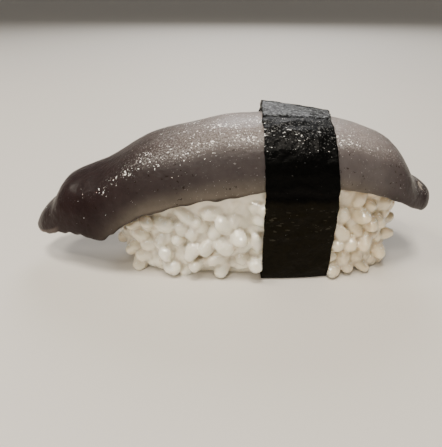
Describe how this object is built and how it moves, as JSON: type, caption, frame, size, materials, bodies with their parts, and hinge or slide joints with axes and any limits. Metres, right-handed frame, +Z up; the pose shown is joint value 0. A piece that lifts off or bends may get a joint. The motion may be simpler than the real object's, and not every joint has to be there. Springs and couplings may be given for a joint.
{
  "type": "nigiri sushi",
  "caption": "Nigiri: a pressed block of rice under a thick, drooping, translucent slab of topping, held by a band of nori.",
  "frame": {"origin": "on the surface it rests on, under the middle of its overall box", "axes": "+X along the slab, from its long drooping tail towards its short end; +Y from the front to the back; +Z up"},
  "size_m": [0.093, 0.0294, 0.0367],
  "materials": {
    "cooked_rice": "moist, translucent, warm white grains",
    "topping": "wet, translucent, grey-purple, darker at the tail",
    "nori": "crinkled, semi-gloss, near black"
  },
  "bodies": {
    "root": {"rice_block": "cooked_rice", "topping_slab": "topping", "nori_band": "nori"}
  },
  "joints": []
}
